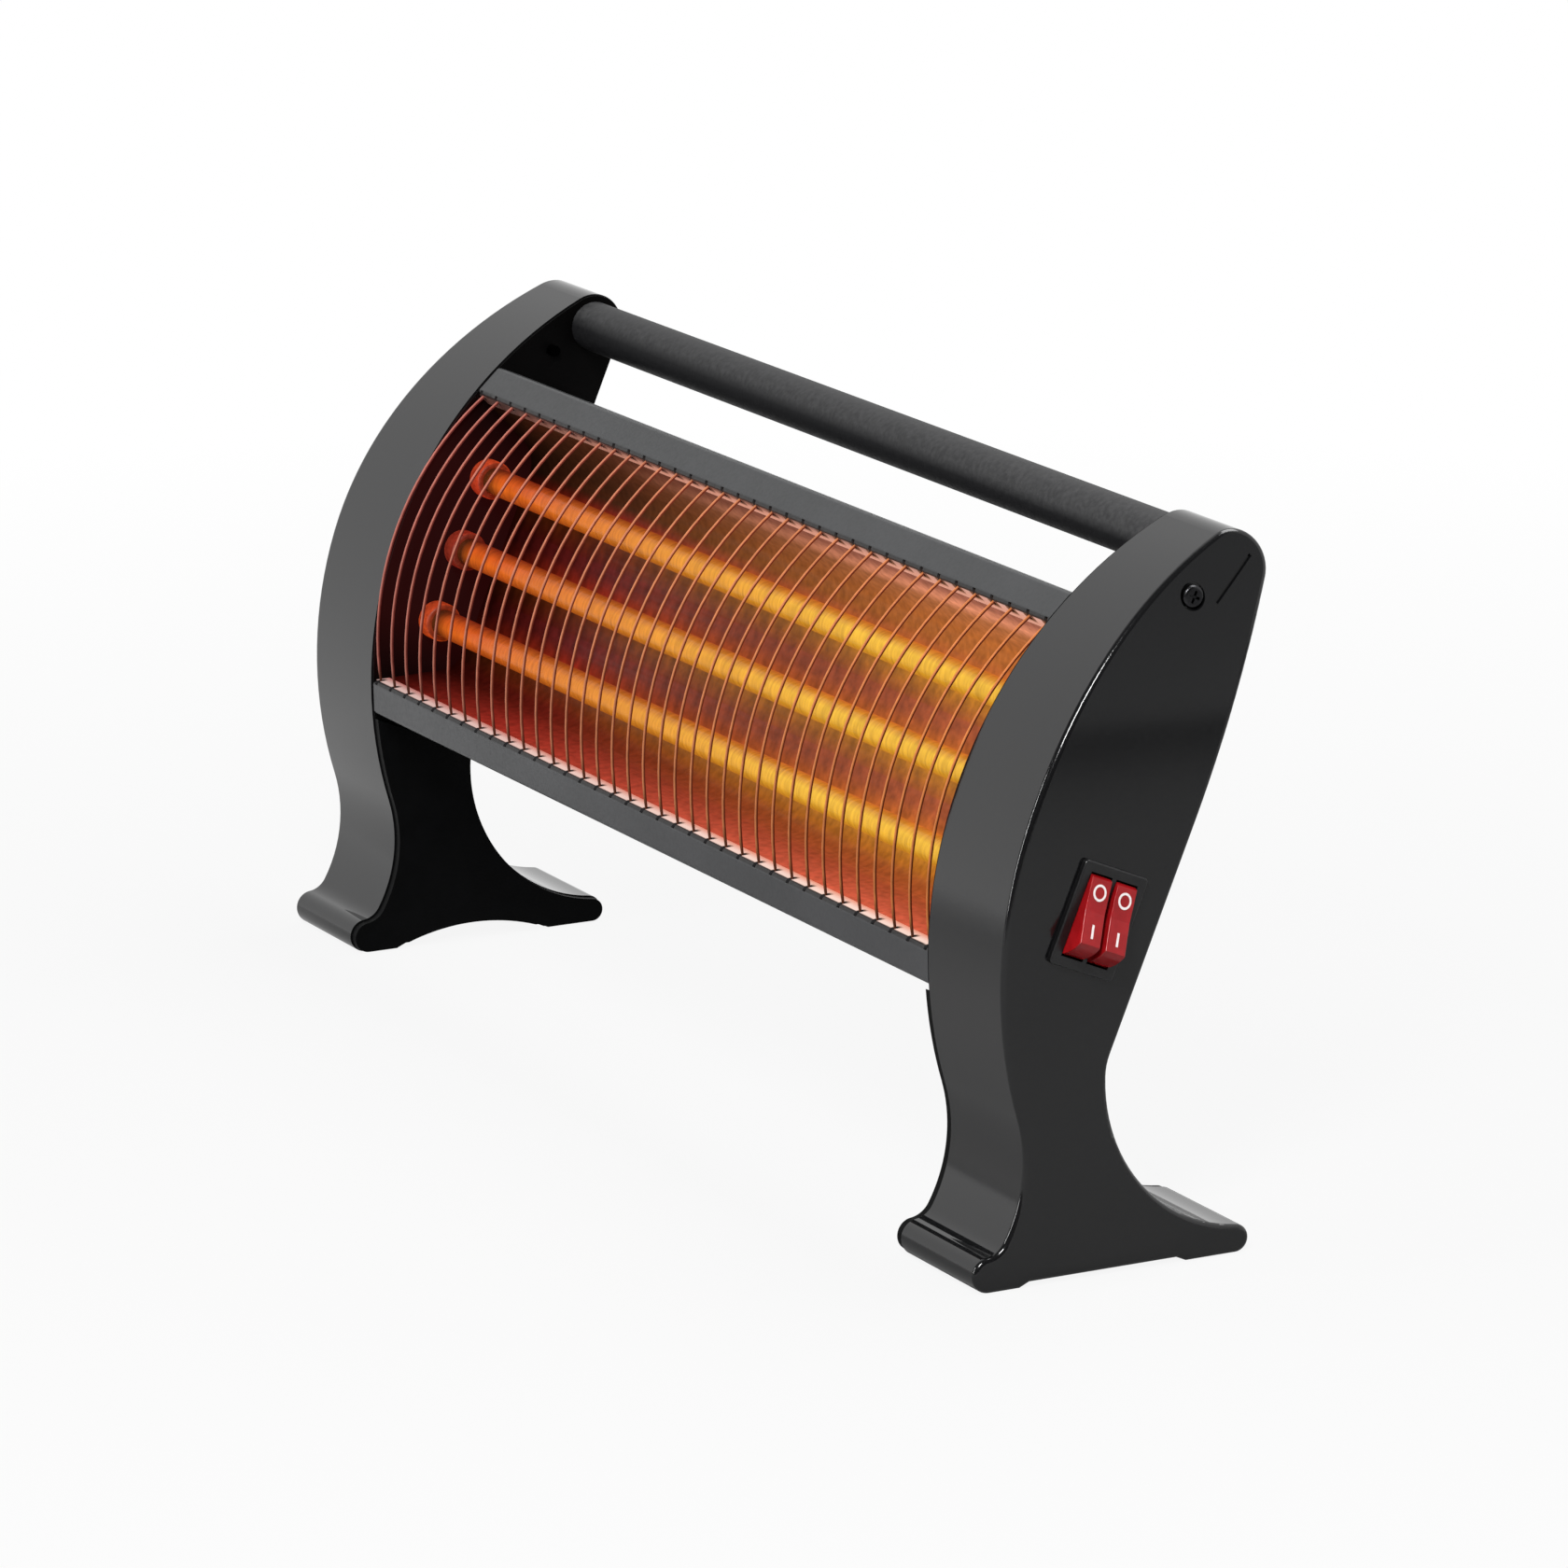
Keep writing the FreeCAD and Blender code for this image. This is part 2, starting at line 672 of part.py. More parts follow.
def terminal_studs():
    return both_sides([rod(STUD_RADIUS, ELEMENT_X, STUD_X, 0, t) for t in TUBE_TS])


def terminal_washers():
    bore = STUD_RADIUS + FIT
    return both_sides([ring(WASHER_RADIUS, bore, NECK_X, BUS_X, 0, t) for t in TUBE_TS])


def terminal_nut(x, t):
    nut = hexagon(STUD_NUT_FLATS, STUD_NUT_HEIGHT)
    nut = nut.cut(rod(STUD_RADIUS + FIT / 2, 0, STUD_NUT_HEIGHT, 0, 0))
    nut.translate(Vector(x, 0, t))
    return nut


# The top terminal on the right has no bus bar under its nut
def terminal_nuts():
    over_bus = BUS_X + BUS_SHEET
    right = [terminal_nut(BUS_X, TUBE_TS[0])]
    right += [terminal_nut(over_bus, t) for t in TUBE_TS[1:]]
    left = [mirrored(terminal_nut(over_bus, t)) for t in TUBE_TS]
    return Part.makeCompound([lean(nut) for nut in right + left])


def bus_bar(places):
    end = BUS_X + BUS_SHEET
    middle = (places[0] + places[-1]) / 2
    bar = block(BUS_X, end, 0, BUS_HALF, middle, abs(places[0] - middle))
    bar = bar.fuse([rod(BUS_HALF, BUS_X, end, 0, t) for t in (places[0], places[-1])])
    bar = bar.cut([rod(STUD_RADIUS + FIT, BUS_X, end, 0, t) for t in places])
    return bar.removeSplitter()


# Switch body with bezel and an open bay for each rocker
def switch_housing():
    bezel = block(HALF, BEZEL_X, SWITCH_N, BEZEL_WIDTH / 2, SWITCH_T, BEZEL_LENGTH / 2)
    upright = [edge for edge in bezel.Edges if edge.BoundBox.XLength > FIT]
    bezel = bezel.makeFillet(BEZEL_CORNER, upright)
    front = [edge for edge in bezel.Edges if edge.BoundBox.XMin > BEZEL_X - FIT]
    bezel = bezel.makeFillet(BEZEL_EDGE, front)
    half_n = SWITCH_WIDTH / 2
    body = block(SWITCH_X, HALF, SWITCH_N, half_n, SWITCH_T, SWITCH_LENGTH / 2)
    floor_x = PIVOT_X - ROCKER_KEEL - ROCKER_GAP
    bays = [block(floor_x, BEZEL_X, SWITCH_N + n, BAY_HALF_N, SWITCH_T, BAY_HALF_T)
            for n in (-ROCKER_N, ROCKER_N)]
    base = Vector(PIVOT_X, SWITCH_N - half_n, SWITCH_T)
    pin_hole = Part.makeCylinder(PIN_RADIUS + PIN_GAP, SWITCH_WIDTH, base, ALONG_N)
    return body.fuse(bezel).cut(bays + [pin_hole]).removeSplitter()


# Dished rocker, turned to the off position it rests in
def rocker(side):
    start_n = SWITCH_N + side * ROCKER_N - ROCKER_WIDTH / 2
    pivot = Vector(PIVOT_X, start_n, SWITCH_T)
    crown = PIVOT_SINK + ROCKER_PROUD
    rise = crown + ROCKER_RADIUS * math.tan(math.radians(ROCKER_DISH))
    section = [(rise, -ROCKER_RADIUS), (crown, 0), (rise, ROCKER_RADIUS)]
    section += [(-ROCKER_SHOULDER, ROCKER_RADIUS), (-ROCKER_KEEL, 0)]
    section += [(-ROCKER_SHOULDER, -ROCKER_RADIUS), section[0]]
    corners = [pivot + Vector(out, 0, up) for out, up in section]
    shape = Part.Face(Part.makePolygon(corners)).extrude(ALONG_N * ROCKER_WIDTH)
    shape = shape.common(Part.makeCylinder(ROCKER_RADIUS, ROCKER_WIDTH, pivot, ALONG_N))
    long_edges = [edge for edge in shape.Edges
                  if edge.BoundBox.YLength < FIT and edge.BoundBox.XMin > PIVOT_X + crown - FIT]
    shape = shape.makeFillet(ROCKER_EDGE, long_edges)
    bore = Part.makeCylinder(PIN_RADIUS + PIN_GAP, ROCKER_WIDTH, pivot, ALONG_N)
    shape = shape.cut(bore)
    shape.rotate(pivot, ALONG_N, -ROCKER_TILT)
    return shape


def rocker_pin():
    half = SWITCH_WIDTH / 2 - PIN_END_GAP
    base = Vector(PIVOT_X, SWITCH_N - half, SWITCH_T)
    return Part.makeCylinder(PIN_RADIUS, 2 * half, base, ALONG_N)


# Two load blades, and a line blade that bridges both rockers
def switch_terminals():
    load_t = SWITCH_T + LOAD_BLADE_T
    half = BLADE_WIDTH / 2
    thin = BLADE_SHEET / 2
    blades = [block(BLADE_X, SWITCH_X, SWITCH_N + n, half, load_t, thin)
              for n in (-ROCKER_N, ROCKER_N)]
    line_t = SWITCH_T + LINE_BLADE_T
    blades.append(block(BLADE_X, SWITCH_X, SWITCH_N, ROCKER_N + half, line_t, thin))
    return Part.makeCompound([lean(blade) for blade in blades])


# Lead that loops from one terminal to another in the right panel
def loop_lead(start_x, start, end):
    return lead([Vector(start_x, *start), Vector(LOOP_X, *start),
                 Vector(LOOP_X, *end), Vector(BLADE_X, *end)])


def top_lead():
    return loop_lead(STUD_X, (0, TUBE_TS[0]), (SWITCH_N + ROCKER_N, SWITCH_T + LOAD_BLADE_T))


def pair_lead():
    return loop_lead(STUD_X, (0, TUBE_TS[1]), (SWITCH_N - ROCKER_N, SWITCH_T + LOAD_BLADE_T))


def supply_lead():
    start_x = BLOCK_X - ENTRY_DEPTH
    return loop_lead(start_x, (-BLOCK_ENTRY, BLOCK_T), (SWITCH_N, SWITCH_T + LINE_BLADE_T))


# Lead behind the reflector from the left terminals to the terminal block
def neutral_lead():
    behind = (BEHIND_N, NEUTRAL_T)
    entry = (BLOCK_ENTRY, BLOCK_T)
    return lead([Vector(-STUD_X, 0, 0), Vector(-LOOP_X, 0, 0), Vector(-LOOP_X, *behind),
                 Vector(LOOP_X, *behind), Vector(LOOP_X, *entry),
                 Vector(BLOCK_X - ENTRY_DEPTH, *entry)])


def terminal_block():
    body = block(INNER, BLOCK_X, 0, BLOCK_HALF_N, BLOCK_T, BLOCK_HALF_T)
    start_x = BLOCK_X - ENTRY_DEPTH
    entries = [rod(LEAD_RADIUS + FIT, start_x, BLOCK_X, n, BLOCK_T)
               for n in (-BLOCK_ENTRY, BLOCK_ENTRY)]
    return body.cut(entries)


# Cord gland low on the right panel's straight rear wall, placed by its distance behind that wall
def gland_base(behind):
    wall_start = CORE.inverse().multVec(rear_arcs()[1]).z
    return Vector(GLAND_X, REAR_REACH + behind, wall_start + GLAND_FLANGE + GLAND_GAP)


def cord_gland():
    flange = Part.makeCylinder(GLAND_FLANGE, GLAND_FLANGE_SHEET, gland_base(0), ALONG_N)
    rim = [edge for edge in flange.Edges if edge.BoundBox.YMin > REAR_REACH + FIT]
    flange = flange.makeFillet(GLAND_FLANGE_SHEET / 2, rim)
    base = gland_base(-GLAND_NECK_LENGTH)
    length = GLAND_NECK_LENGTH + GLAND_FLANGE_SHEET
    neck = Part.makeCylinder(GLAND_NECK, GLAND_NECK_LENGTH, base, ALONG_N)
    return flange.fuse(neck).cut(Part.makeCylinder(GLAND_BORE, length, base, ALONG_N))


def gland_nut():
    nut = hexagon(GLAND_NUT_FLATS, GLAND_NUT_HEIGHT)
    nut = nut.cut(rod(GLAND_NECK + FIT, 0, GLAND_NUT_HEIGHT, 0, 0))
    nut.rotate(Vector(0, 0, 0), Vector(0, 0, 1), -90)
    nut.translate(gland_base(-WALL))
    return nut


# Pan-head screw along X, its head above start_x and its shank below
def pan_screw(shank, length, start_x, n, t):
    head = rod(SCREW_HEAD, start_x, start_x + SCREW_HEAD_HEIGHT, n, t)
    crown = [edge for edge in head.Edges if edge.BoundBox.XMin > start_x + FIT]
    head = head.makeFillet(SCREW_HEAD_ROUND, crown)
    end = start_x + SCREW_HEAD_HEIGHT
    start = end - CROSS_DEPTH
    cross = [block(start, end, n, CROSS_LENGTH / 2, t, CROSS_WIDTH / 2),
             block(start, end, n, CROSS_WIDTH / 2, t, CROSS_LENGTH / 2)]
    return head.cut(cross).fuse(rod(shank, start_x - length, start_x, n, t))


def outer_screws():
    length = seat_x() - PLATE_X + SCREW_PAST
    return both_sides([pan_screw(OUTER_SHANK, length, seat_x(), OUTER_SCREW_N, OUTER_SCREW_T)])


# The left screws are drawn first, so that their heads face inward
def inner_screws():
    places = (INNER_SCREW_T, -INNER_SCREW_T)
    return both_sides([pan_screw(INNER_SHANK, INNER_SCREW_LENGTH, -PLATE_X, BEHIND_N, t)
                       for t in places])


# How far the raised rocker end stands past the panel, so that the origin can be midway
def rocker_overhang():
    dish = math.radians(ROCKER_DISH)
    crown = PIVOT_SINK + ROCKER_PROUD
    corner = math.acos(crown * math.cos(dish) / ROCKER_RADIUS) - dish
    return PIVOT_X + ROCKER_RADIUS * math.cos(corner - math.radians(ROCKER_TILT)) - HALF


def save(name, shape):
    placed = shape.copy()
    placed.translate(ALONG_X * (-rocker_overhang() / 2))
    placed.exportStep("parts/" + name + ".step")


# Every piece in its place
os.makedirs("parts", exist_ok=True)
panel = plain_panel()
save("right_side_panel", right_side_panel(panel))
save("left_side_panel", mirrored(panel))
save("handle_tube", lean(handle_tube()))
save("right_end_plate", end_plate())
save("left_end_plate", mirrored(end_plate()))
save("right_foot_cover", foot_cover())
save("left_foot_cover", mirrored(foot_cover()))
save("upper_rail", lean(upper_rail()))
save("lower_rail", lean(lower_rail()))
save("rear_cover", lean(rear_cover()))
save("reflector", lean(reflector()))
save("wire_grille", lean(wire_grille()))
for level, tube_t in zip(("top", "middle", "bottom"), TUBE_TS):
    save("quartz_tube_" + level, lean(quartz_tube(tube_t)))
    save("heating_element_" + level, lean(heating_element(tube_t)))
    save("right_cap_" + level, lean(ceramic_cap(tube_t)))
    save("left_cap_" + level, lean(mirrored(ceramic_cap(tube_t))))
save("terminal_studs", terminal_studs())
save("terminal_washers", terminal_washers())
save("terminal_nuts", terminal_nuts())
save("right_bus_bar", lean(bus_bar(TUBE_TS[1:])))
save("left_bus_bar", lean(mirrored(bus_bar(TUBE_TS))))
save("switch_housing", lean(switch_housing()))
save("front_rocker", lean(rocker(-1)))
save("rear_rocker", lean(rocker(1)))
save("rocker_pin", lean(rocker_pin()))
save("switch_terminals", switch_terminals())
save("top_lead", lean(top_lead()))
save("pair_lead", lean(pair_lead()))
save("supply_lead", lean(supply_lead()))
save("neutral_lead", lean(neutral_lead()))
save("terminal_block", lean(terminal_block()))
save("cord_gland", lean(cord_gland()))
save("gland_nut", lean(gland_nut()))
save("outer_screws", outer_screws())
save("inner_screws", inner_screws())
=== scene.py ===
import json
import math

import bpy
from mathutils import Matrix, Vector


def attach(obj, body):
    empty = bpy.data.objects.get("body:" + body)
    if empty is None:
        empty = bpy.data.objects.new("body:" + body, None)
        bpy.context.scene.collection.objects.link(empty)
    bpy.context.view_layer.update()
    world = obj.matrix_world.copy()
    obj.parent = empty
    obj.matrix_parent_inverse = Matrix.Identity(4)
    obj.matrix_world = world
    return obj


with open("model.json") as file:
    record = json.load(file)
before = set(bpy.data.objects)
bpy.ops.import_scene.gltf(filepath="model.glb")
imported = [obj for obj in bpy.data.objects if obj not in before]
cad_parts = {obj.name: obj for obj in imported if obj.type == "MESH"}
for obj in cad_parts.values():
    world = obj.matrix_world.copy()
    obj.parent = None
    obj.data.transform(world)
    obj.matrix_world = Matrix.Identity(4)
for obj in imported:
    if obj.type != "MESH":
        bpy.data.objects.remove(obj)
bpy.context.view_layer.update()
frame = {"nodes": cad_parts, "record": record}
nodes = frame["nodes"]
scene = bpy.context.scene

# Leaning core of the heater, the same values as in the part's source, in metres
LEAN = math.radians(22.8)
CORE_Y = -0.0101
CORE_Z = 0.1475
REARWARD = Vector((0, math.cos(LEAN), -math.sin(LEAN)))
UPWARD = Vector((0, math.sin(LEAN), math.cos(LEAN)))
SIDEWAYS = Vector((1, 0, 0))
MID_X = -0.004764
HOUSING_HALF = 0.207
LEVEL_HALF = 0.055

# Rails, wires and tubes in that core
STRIP_LEAN = math.radians(24.2)
CORNER_N = -0.0159
CORNER_T = 0.0558
WIRE_PITCH = 0.0117
FIRST_WIRE = -0.20475
TUBE_ROWS = 3
TUBE_ROWS_HALF = 0.04125
LIT_END = 0.189
COOL_END = 0.1975
COOL_GLOW = 0.06
CAP_MOUTH = 0.2

# Painted glow on the flanges of the rails, and painted shadows round the slots that the wires pass
# through
FLANGE_GLOW = 0.8
EDGE_START_SHARE = 0.43
SLOT_SHADOW_FADE = 0.15
SLOT_SHADOW_DEEP = 0.0038
SLOT_SHADOW_END = 0.0050

# Painted reflection of the wires in the reflector, and the glass share of the quartz
MIRROR_SHIFT = 0.004
MIRROR_FULL = 1.04
GLASS_SHARE = 0.9

# Directions that the looks follow
UPRIGHT = (0, 0, 1)
HANDLE_TOP = (0, -0.2, 0.98)
FRONT_LEFT = (-0.47, -0.88, 0)
CAMERA_SIDE = (0.62, -0.72, 0.3)
FAR_SIDE = (-0.85, 0.53, 0)

# Floor and studio
FLOOR_HALF = 6
FILL_LIGHT = 0.22
BACKDROP_LIGHT = 1.0

# Switch on the right panel and the marks on its rockers
SWITCH_N = 0.0087
SWITCH_T = -0.0273
PIVOT_X = 0.249236
CROWN = 0.008
ROCKER_STEP = 0.005
ROCKER_DISH = math.radians(4.0)
ROCKER_TILT = math.radians(17.0)
MARK_SKIN = 0.00012
MARK_OFFSET = 0.0064
RING_INNER = 0.0018
RING_OUTER = 0.0025
RING_STRETCH = 1.1
RING_STEPS = 48
BAR_HALF_WIDE = 0.0004
BAR_HALF_LONG = 0.0023
BAR_CENTRE_SHARE = 0.02

# Range that a noise texture mostly fills, and the depth of fine bumps
NOISE_LOW = 0.3
NOISE_HIGH = 0.7
BUMP_DEPTH = 0.0003


def core_point(x, n, t):
    return Vector((x, CORE_Y, CORE_Z)) + REARWARD * n + UPWARD * t


# Colour as a screen shows it, in 255 steps, turned to linear light
def shown(*steps):
    def linear(step):
        value = step / 255
        return value / 12.92 if value < 0.04045 else ((value + 0.055) / 1.055) ** 2.4
    return tuple(linear(step) for step in steps)


# Helpers that add nodes to one node tree
class Shader:
    def __init__(self, tree):
        self.tree = tree
        tree.nodes.clear()

    def add(self, kind, **inputs):
        node = self.tree.nodes.new(kind)
        for key, value in inputs.items():
            self.feed(node.inputs[key.replace("_", " ")], value)
        return node

    def feed(self, socket, value):
        if isinstance(value, bpy.types.NodeSocket):
            self.tree.links.new(value, socket)
        else:
            socket.default_value = value

    # Value moved from one range to another and held at its ends
    def span(self, value, low, high, to_low, to_high):
        node = self.add("ShaderNodeMapRange", Value=value)
        node.inputs["From Min"].default_value = low
        node.inputs["From Max"].default_value = high
        node.inputs["To Min"].default_value = to_low
        node.inputs["To Max"].default_value = to_high
        return node.outputs["Result"]

    def math(self, operation, first, second=0.0):
        node = self.add("ShaderNodeMath")
        node.operation = operation
        self.feed(node.inputs[0], first)
        self.feed(node.inputs[1], second)
        return node.outputs[0]

    def times(self, product, *factors):
        for factor in factors:
            product = self.math("MULTIPLY", product, factor)
        return product

    def dot(self, vector, direction):
        node = self.add("ShaderNodeVectorMath")
        node.operation = "DOT_PRODUCT"
        self.feed(node.inputs[0], vector)
        node.inputs[1].default_value = direction
        return node.outputs["Value"]

    def blend(self, factor, first, second):
        node = self.add("ShaderNodeMixShader", Fac=factor)
        self.feed(node.inputs[1], first.outputs[0])
        self.feed(node.inputs[2], second.outputs[0])
        return node

    def background(self, strength):
        return self.add("ShaderNodeBackground", Color=(1, 1, 1, 1), Strength=strength)


# Node tree of a new material, with textures in object space
class Material(Shader):
    def __init__(self, name):
        self.material = bpy.data.materials.new(name)
        self.material.use_nodes = True
        super().__init__(self.material.node_tree)
        self.output = self.add("ShaderNodeOutputMaterial")
        self.coords = self.add("ShaderNodeTexCoord").outputs["Object"]

    def finish(self, shader):
        self.tree.links.new(shader.outputs[0], self.output.inputs["Surface"])
        return self.material

    def principled(self, **inputs):
        return self.add("ShaderNodeBsdfPrincipled", **inputs)

    def surface(self, **inputs):
        return self.finish(self.principled(**inputs))

    def noise(self, scale, detail, vector=None):
        source = self.coords if vector is None else vector
        node = self.add("ShaderNodeTexNoise", Vector=source, Scale=scale, Detail=detail)
        return node.outputs["Fac"]

    # Noise drawn out by a scale of its own on each axis
    def streak(self, scale):
        node = self.add("ShaderNodeMapping", Vector=self.coords)
        node.inputs["Scale"].default_value = scale
        return self.noise(1.0, 3.0, node.outputs["Vector"])

    # Noise moved to a range of its own
    def spread(self, noise, low, high):
        return self.span(noise, NOISE_LOW, NOISE_HIGH, low, high)

    def ramp(self, value, stops):
        node = self.add("ShaderNodeValToRGB", Fac=value)
        band = node.color_ramp
        while len(band.elements) < len(stops):
            band.elements.new(1.0)
        for element, (place, colour) in zip(band.elements, stops):
            element.position = place
            element.color = (*colour, 1)
        return node.outputs["Color"]

    # Noise turned into two tones of one colour
    def mottle(self, noise, dark, light):
        return self.ramp(noise, [(NOISE_LOW, dark), (NOISE_HIGH, light)])

    # Ramp whose stops are a place and a colour as a screen shows it
    def glow(self, value, *stops):
        return self.ramp(value, [(place, shown(*colour)) for place, *colour in stops])

    def mix(self, factor, first, second):
        node = self.add("ShaderNodeMix")
        node.data_type = "RGBA"
        self.feed(node.inputs["Factor"], factor)
        for key, colour in (("A", first), ("B", second)):
            linked = isinstance(colour, bpy.types.NodeSocket)
            self.feed(node.inputs[key], colour if linked else (*colour, 1))
        return node.outputs["Result"]

    def bump(self, height, strength):
        node = self.add("ShaderNodeBump", Height=height, Strength=strength, Distance=BUMP_DEPTH)
        return node.outputs["Normal"]

    # Share of the surface's normal along a direction
    def facing(self, direction):
        return self.dot(self.add("ShaderNodeTexCoord").outputs["Normal"], direction)

    # Distance of the surface point from a place, along a direction
    def along(self, direction, place):
        return self.math("SUBTRACT", self.dot(self.coords, direction), Vector(direction).dot(place))

    # Height above the middle of the leaning core
    def height(self):
        return self.along(UPWARD, core_point(0, 0, 0))

    # The same height, from 0 to 1 over 110 mm
    def level(self):
        return self.span(self.height(), -LEVEL_HALF, LEVEL_HALF, 0.0, 1.0)

    # Distance above or below the middle of the core
    def off_centre(self):
        return self.math("ABSOLUTE", self.height())

    # Place along the width, from the middle of the heater
    def sideways(self):
        return self.along(SIDEWAYS, SIDEWAYS * MID_X)

    # The same place, from 0 at the left end plate to 1 at the right one
    def across(self):
        return self.span(self.sideways(), -HOUSING_HALF, HOUSING_HALF, 0.0, 1.0)

    # Distance to the left or right of the middle
    def off_middle(self):
        return self.math("ABSOLUTE", self.sideways())

    # Nearness to a wire of the grille: one at a wire, zero half-way between two
    def near_wire(self, shift=0.0):
        place = self.along(SIDEWAYS, SIDEWAYS * (MID_X + FIRST_WIRE + shift))
        turn = self.math("FRACT", self.math("DIVIDE", place, WIRE_PITCH))
        return self.math("ABSOLUTE", self.span(turn, 0.0, 1.0, -1.0, 1.0))

    # One along the tubes, falling to almost nothing at their cool ends
    def lit_length(self):
        return self.span(self.off_middle(), LIT_END, COOL_END, 1.0, COOL_GLOW)


# Moulded panel: polished black plastic that takes its greys from what it mirrors
def panel_material():
    s = Material("panel_plastic")
    grain = s.noise(900.0, 2.0)
    up = s.span(s.facing(UPRIGHT), 0.8, 0.95, 1.0, 0.25)
    return s.surface(
        Base_Color=s.mottle(s.noise(9.0, 2.0), (0.0040, 0.0041, 0.0045), (0.0064, 0.0065, 0.0070)),
        Roughness=s.times(s.spread(grain, 0.11, 0.16), up),
        Normal=s.bump(grain, 0.01))


# Rear cover: grey paint with fine grain
def cover_material():
    s = Material("cover_paint")
    grain = s.noise(700.0, 2.0)
    return s.surface(
        Base_Color=s.mottle(s.noise(25.0, 4.0), (0.022, 0.023, 0.024), (0.030, 0.031, 0.033)),
        Roughness=s.spread(grain, 0.3, 0.4),
        Normal=s.bump(grain, 0.08),
        Specular_IOR_Level=0.4)


# Handle: matt grained paint, with painted shade that darkens its under side, and more so toward the left
def handle_material():
    s = Material("handle_paint")
    grain = s.noise(500.0, 2.0)
    # Lit and shaded copies of the paint: painted light on the upper side, painted shade on the under
    # side
    lit_upper = s.mottle(grain, (0.032, 0.032, 0.033), (0.054, 0.054, 0.055))
    shaded_under = s.mottle(grain, (0.009, 0.009, 0.010), (0.015, 0.015, 0.016))
    shift = s.span(s.across(), 0.0, 1.0, -0.36, -0.02)
    turn = s.math("ADD", s.facing(HANDLE_TOP), shift)
    return s.surface(
        Base_Color=s.mix(s.span(turn, 0.0, 0.42, 0.0, 1.0), shaded_under, lit_upper),
        Roughness=s.spread(grain, 0.5, 0.62),
        Normal=s.bump(grain, 0.2),
        Specular_IOR_Level=0.08)


# Screw: dark steel head, blackened where its point shows inside
def screw_material():
    s = Material("screw_steel")
    streak = s.streak((900, 60, 60))
    steel = s.mottle(streak, (0.03, 0.03, 0.032), (0.06, 0.06, 0.063))
    head = s.span(s.off_middle(), 0.215, 0.225, 0.0, 1.0)
    return s.surface(
        Base_Color=s.mix(head, (0.001, 0.001, 0.001), steel),
        Metallic=1.0,
        Roughness=s.spread(streak, 0.25, 0.4))


# Metal with fine scratches along the width
def metal_material(name, dark, light, rough_low, rough_high):
    s = Material(name)
    streak = s.streak((20, 900, 900))
    return s.surface(
        Base_Color=s.mottle(streak, dark, light),
        Metallic=1.0,
        Roughness=s.spread(streak, rough_low, rough_high))


# Plastic with a faint mottle
def plastic_material(name, dark, light, rough_low, rough_high, gloss=0.5, cloud=120.0):
    s = Material(name)
    return s.surface(
        Base_Color=s.mottle(s.noise(cloud, 3.0), dark, light),
        Roughness=s.spread(s.noise(1500.0, 2.0), rough_low, rough_high),
        Specular_IOR_Level=gloss)


# Rail: grey paint outside; toward the tubes a painted reflected glow on the flange, painted shade in its
# fold, and painted shadows round the wires
def rail_material(name, side, dark, light, flange_glow_stops, edge_glow_stops, edge_end, slot_shadow_notch):
    s = Material(name)

    # The side is 1 for the upper rail and -1 for the lower one
    corner = core_point(0, CORNER_N, side * CORNER_T)
    toward_tubes = REARWARD * -math.sin(STRIP_LEAN) - UPWARD * (side * math.cos(STRIP_LEAN))
    inward = REARWARD * math.cos(STRIP_LEAN) - UPWARD * (side * math.sin(STRIP_LEAN))
    depth = s.along(inward, corner)
    turned = s.facing(toward_tubes)
    skin = s.span(s.along(toward_tubes, corner), -0.0009, -0.0004, 0.0, 1.0)
    inside = s.times(s.span(turned, 0.93, 0.99, 0.0, 1.0), skin)
    grain = s.noise(700.0, 2.0)
    cloud = s.noise(25.0, 4.0)
    paint = s.mottle(cloud, dark, light)
    # Pinkish base on the flange's inner face: painted reflection of the glow
    painted_glow_tint = s.mottle(cloud, (0.14, 0.08, 0.07), (0.20, 0.12, 0.10))
    # Near black where the rail turns toward the tubes: painted shade in the fold
    painted_fold_shade = s.mix(s.span(turned, 0.15, 0.4, 0.0, 1.0), paint, (0.004, 0.003, 0.003))

    # The painted glow on the edge goes edge_end deep, and a larger notch value narrows the painted
    # shadows round the wires
    flange = s.glow(s.across(), *flange_glow_stops)
    edge = s.glow(s.across(), *edge_glow_stops)
    glow = s.mix(s.span(depth, EDGE_START_SHARE * edge_end, edge_end, 1.0, 0.0), flange, edge)
    # Dark patches round each wire near the flange's edge: painted shadows of the slots
    wires = s.span(s.near_wire(), slot_shadow_notch, slot_shadow_notch + SLOT_SHADOW_FADE, 0.0, 1.0)
    slots = s.times(wires, s.span(depth, SLOT_SHADOW_DEEP, SLOT_SHADOW_END, 1.0, 0.0))
    return s.surface(
        Base_Color=s.mix(inside, painted_fold_shade, painted_glow_tint),
        Roughness=s.spread(grain, 0.3, 0.4),
        Normal=s.bump(grain, 0.06),
        Specular_IOR_Level=0.4,
        Emission_Color=s.mix(slots, glow, (0.002, 0.001, 0.001)),
        Emission_Strength=s.times(inside, FLANGE_GLOW))


# Upper rail: the painted glow on its edge is dark at the left and light toward the right
def upper_rail_material():
    flange = [(0.05, 30, 14, 12), (0.35, 208, 146, 124), (0.9, 216, 158, 140)]
    edge = [(0.2, 8, 5, 5), (0.5, 84, 52, 46), (0.95, 214, 168, 158)]
    return rail_material("upper_rail_paint", 1, (0.022, 0.023, 0.024), (0.030, 0.031, 0.033),
                         flange, edge, 0.0042, 0.4)


# Lower rail: the painted glow on its edge is light along the whole length
def lower_rail_material():
    flange = [(0.05, 176, 96, 90), (0.8, 226, 132, 104)]
    edge = [(0.05, 214, 184, 178), (0.8, 244, 220, 210)]
    return rail_material("lower_rail_paint", -1, (0.031, 0.032, 0.034), (0.041, 0.042, 0.045),
                         flange, edge, 0.0066, 0.72)


